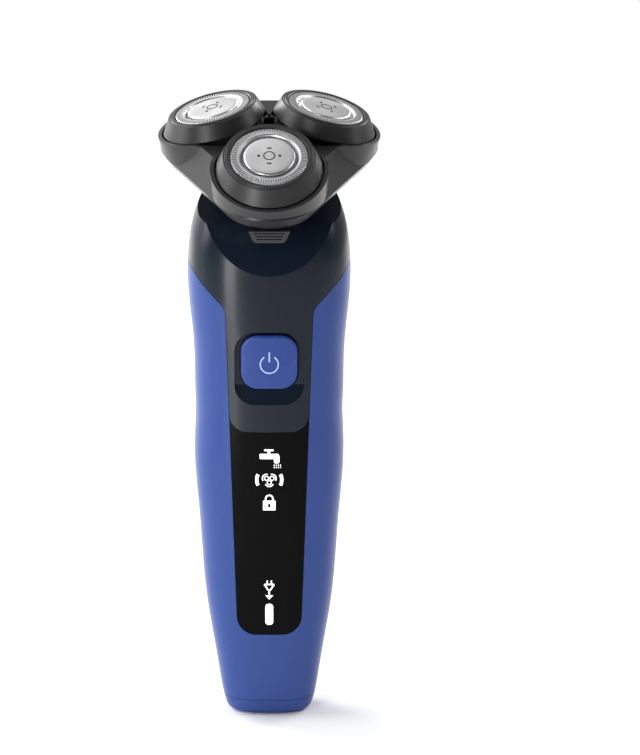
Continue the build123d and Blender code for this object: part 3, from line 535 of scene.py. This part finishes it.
def shaving_head_outlines(z):
    """Three cutting units in their outline, between two arcs; z is the middle."""
    units = ((-0.72, z + 0.45, 75, 215), (0.72, z + 0.45, -35, 105), (0, z - 0.7, 205, 335))
    ring_radius, ring_width = 0.55, 0.26
    rim_radius, rim_width = 1.1, 0.3
    side_radius, side_width, side_reach = 3.3, 0.85, 27
    rings = [arc_band(x, y, ring_radius, ring_width, 0, 359) for x, y, start, end in units]
    rims = [arc_band(x, y, rim_radius, rim_width, start, end) for x, y, start, end in units]
    sides = [arc_band(0, z, side_radius, side_width, side - side_reach, side + side_reach)
             for side in (0, 180)]
    return rings + rims + sides


def padlock_outlines(z):
    """A padlock with a keyhole, in four bars round the hole; z is the bottom of its body."""
    body_half, body_height, hole_half = 1.65, 2.7, 0.32
    shackle_z = z + 3.2
    side_width = body_half - hole_half
    outlines = [arc_band(0, shackle_z, 0.95, 0.42, 0, 180)]
    outlines += [bar(side * 0.95, shackle_z - 0.25, 0.42, 0.7) for side in (-1, 1)]
    for side in (-1, 1):
        x = side * (body_half + hole_half) / 2
        outlines.append(bar(x, z + body_height / 2, side_width, body_height, round_by=0.12))
    outlines.append(bar(0, z + body_height - 0.45, 0.8, 0.9))
    outlines.append(bar(0, z + 0.4, 0.8, 0.8))
    return outlines


def plug_outlines(z):
    """A plug with its prongs up, whose cable ends in an arrow down; z is the middle of its flat."""
    prongs = [bar(side * 0.55, z + 0.65, 0.36, 0.9) for side in (-1, 1)]
    flat = bar(0, z, 2.6, 0.4, round_by=0.15)
    flanks = [bar(side * 0.78, z - 0.8, 0.4, 1.9, radians(-side * 32), 0.1) for side in (-1, 1)]
    cable = bar(0, z - 2.15, 0.4, 1.4)
    arrow = [(-1.05, z - 3.05), (0, z - 4.25), (1.05, z - 3.05)]
    return prongs + [flat] + flanks + [cable, arrow]


def power_outlines(z):
    """The power sign: a ring open at its top, with a bar through the gap; z is the ring's middle."""
    return [arc_band(0, z, 2.35, 0.34, 124, 416, steps=40), bar(0, z + 2.0, 0.36, 2.7, round_by=0.15)]


def make_pictograms():
    """Tap, shaving head, padlock, plug and battery on the window; power sign on the button."""
    window_icons = {
        "icon_tap": tap_outlines(z=73.75),
        "icon_shaving_head": shaving_head_outlines(z=67.3),
        "icon_padlock": padlock_outlines(z=58.9),
        "icon_plug": plug_outlines(z=38.25),
        "icon_battery": [bar(0, 29.8, 2.1, 6.0, round_by=0.9)],
    }
    for name, outlines in window_icons.items():
        printed_piece(name, outlines, "display_window", ICON_WHITE, "handle")
    printed_piece("icon_power", power_outlines(z=98.7), "power_button", SYMBOL_WHITE, "power_button")


# ---------------------------------------------------------------- studio

FLOOR_HALF = 0.9
WHITE = (1, 1, 1, 1)

# The room's light is the product of two ramps. Each has its axis, the two directions between which
# it changes, and its strength at both: dim from the front and brighter from behind, and brighter
# from the left than from the right.
ROOM_LIGHT = (
    ("Y", -0.35, 0.15, 0.05, 0.6),
    ("X", -0.5, 0.5, 2.4, 0.35),
)

# Name, place, the point it faces, width and height in metres, and power in watts.
SOFT_BOXES = (
    ("key_left", (-0.60, -0.05, 0.42), (0, 0, 0.09), 0.3, 0.7, 2.5),
    ("strip_left", (-0.17, -0.30, 0.12), (0, 0, 0.09), 0.09, 0.24, 0.62),
    ("fill_right", (0.60, -0.05, 0.45), (0, 0, 0.10), 0.25, 0.6, 1.5),
    ("back_left", (-0.70, 0.75, 0.50), (0, 0.35, 0.0), 0.5, 0.5, 8.0),
    ("back_right", (0.75, 0.75, 0.55), (0, 0.35, 0.0), 0.5, 0.5, 7.5),
)


def area_light(name, place, target, width, height, power):
    """A soft box that faces a point."""
    data = bpy.data.lights.new(name, "AREA")
    data.shape = "RECTANGLE"
    data.size = width
    data.size_y = height
    data.energy = power
    lamp = bpy.data.objects.new(name, data)
    lamp.location = place
    lamp.rotation_euler = (Vector(target) - Vector(place)).to_track_quat("-Z", "Y").to_euler()
    bpy.context.scene.collection.objects.link(lamp)


def make_floor():
    """A square of white floor under the shaver."""
    corners = [(x * FLOOR_HALF, y * FLOOR_HALF, 0) for x, y in ((-1, -1), (1, -1), (1, 1), (-1, 1))]
    mesh = bpy.data.meshes.new("floor")
    mesh.from_pydata(corners, [], [(0, 1, 2, 3)])
    floor = bpy.data.objects.new("floor", mesh)
    bpy.context.scene.collection.objects.link(floor)
    mesh.materials.append(plastic("floor_white", (0.96, 0.96, 0.96), 0.8, grain=0.05, level=0.2, shade=0.005))


def make_room():
    """Uneven light from all round; the camera itself sees plain white."""
    world = bpy.data.worlds.new("studio")
    bpy.context.scene.world = world
    world.use_nodes = True
    tree = world.node_tree
    coords = add_node(tree, "TexCoord")
    direction = add_node(tree, "SeparateXYZ")
    tree.links.new(coords.outputs["Generated"], direction.inputs["Vector"])
    product = add_node(tree, "Math")
    product.operation = "MULTIPLY"
    for place, (axis, *span) in enumerate(ROOM_LIGHT):
        tree.links.new(map_range(tree, direction.outputs[axis], *span), product.inputs[place])
    light = tree.nodes["Background"]
    light.inputs["Color"].default_value = WHITE
    tree.links.new(product.outputs["Value"], light.inputs["Strength"])
    backdrop = add_node(tree, "Background", {"Color": WHITE})
    path = add_node(tree, "LightPath")
    mix = add_node(tree, "MixShader")
    tree.links.new(path.outputs["Is Camera Ray"], mix.inputs["Fac"])
    tree.links.new(light.outputs["Background"], mix.inputs[1])
    tree.links.new(backdrop.outputs["Background"], mix.inputs[2])
    tree.links.new(mix.outputs["Shader"], tree.nodes["World Output"].inputs["Surface"])


def make_camera():
    """Straight from the front and a little above, with the shaver as large as in the photograph."""
    elevation = radians(14)
    distance = 0.9
    target = Vector((0, 0, 0.080))
    data = bpy.data.cameras.new("camera")
    data.lens = 160.9
    data.sensor_width = 36
    data.shift_x = 0.0672
    data.shift_y = 0.0547
    data.clip_start = 0.05
    camera = bpy.data.objects.new("camera", data)
    camera.location = target + distance * Vector((0, -cos(elevation), sin(elevation)))
    camera.rotation_euler = (pi / 2 - elevation, 0, 0)
    bpy.context.scene.collection.objects.link(camera)
    bpy.context.scene.camera = camera


finish_cad_nodes()
make_cutting_units()
make_pictograms()
make_floor()
make_room()
for soft_box in SOFT_BOXES:
    area_light(*soft_box)
make_camera()
bpy.context.scene.view_settings.view_transform = "Standard"
